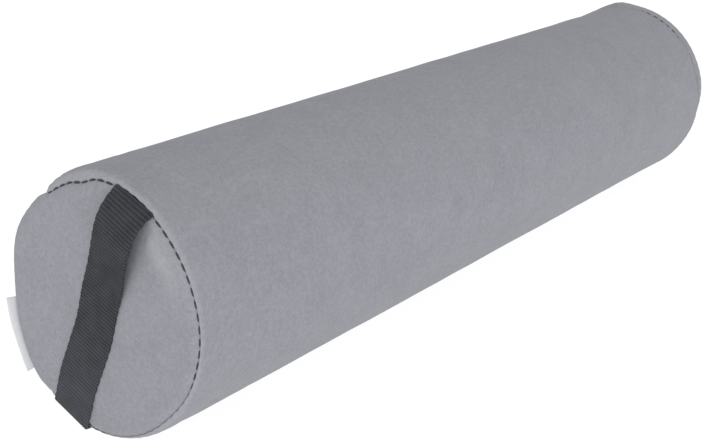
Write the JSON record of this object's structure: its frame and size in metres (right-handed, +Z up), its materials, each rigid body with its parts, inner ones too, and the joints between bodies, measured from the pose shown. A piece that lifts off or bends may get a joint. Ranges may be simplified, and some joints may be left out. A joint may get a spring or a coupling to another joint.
{
  "type": "posture roll",
  "caption": "Firm cylindrical posture roll: a foam core in a sewn leatherette cover with two end panels, a webbing carry handle across one end and a zip along the back.",
  "frame": {"origin": "middle of the narrow flat on the underside that the roll rests on, midway between the two end seams", "axes": "+X along the roll away from the end with the carry handle, +Z up"},
  "size_m": [0.6703, 0.1534, 0.1518],
  "materials": {
    "leatherette": "matt, fine suede-like grain",
    "webbing": "ribbed woven webbing",
    "label_ribbon": "plain woven ribbon",
    "foam": "open-cell foam",
    "zip_tape": "woven tape",
    "zip_plastic": "moulded",
    "zip_metal": "satin enamel"
  },
  "bodies": {
    "roll": {"body_panel": "leatherette", "near_end_panel": "leatherette", "far_end_panel": "leatherette", "carry_handle": "webbing", "side_label": "label_ribbon", "foam_core": "foam", "zip_tape_upper": "zip_tape", "zip_tape_lower": "zip_tape", "zip_teeth_upper": "zip_plastic", "zip_teeth_lower": "zip_plastic", "zip_bottom_stop": "zip_metal", "zip_top_stop_upper": "zip_metal", "zip_top_stop_lower": "zip_metal"},
    "slider": {"zip_slider": "zip_metal"},
    "tab": {"zip_pull_tab": "zip_metal"}
  },
  "joints": [
    {"name": "slider_slide", "type": "slide", "parent": "roll", "child": "slider", "axis": [-1, 0, 0], "range_m": [0, 0.47], "deforming": ["zip_teeth_upper", "zip_teeth_lower"]},
    {"name": "tab_hinge", "type": "hinge", "parent": "slider", "child": "tab", "pos_m": [0.248, 0.07519, 0.06124], "axis": [0, -0.1736, -0.9848], "range_deg": [0, 175]}
  ]
}
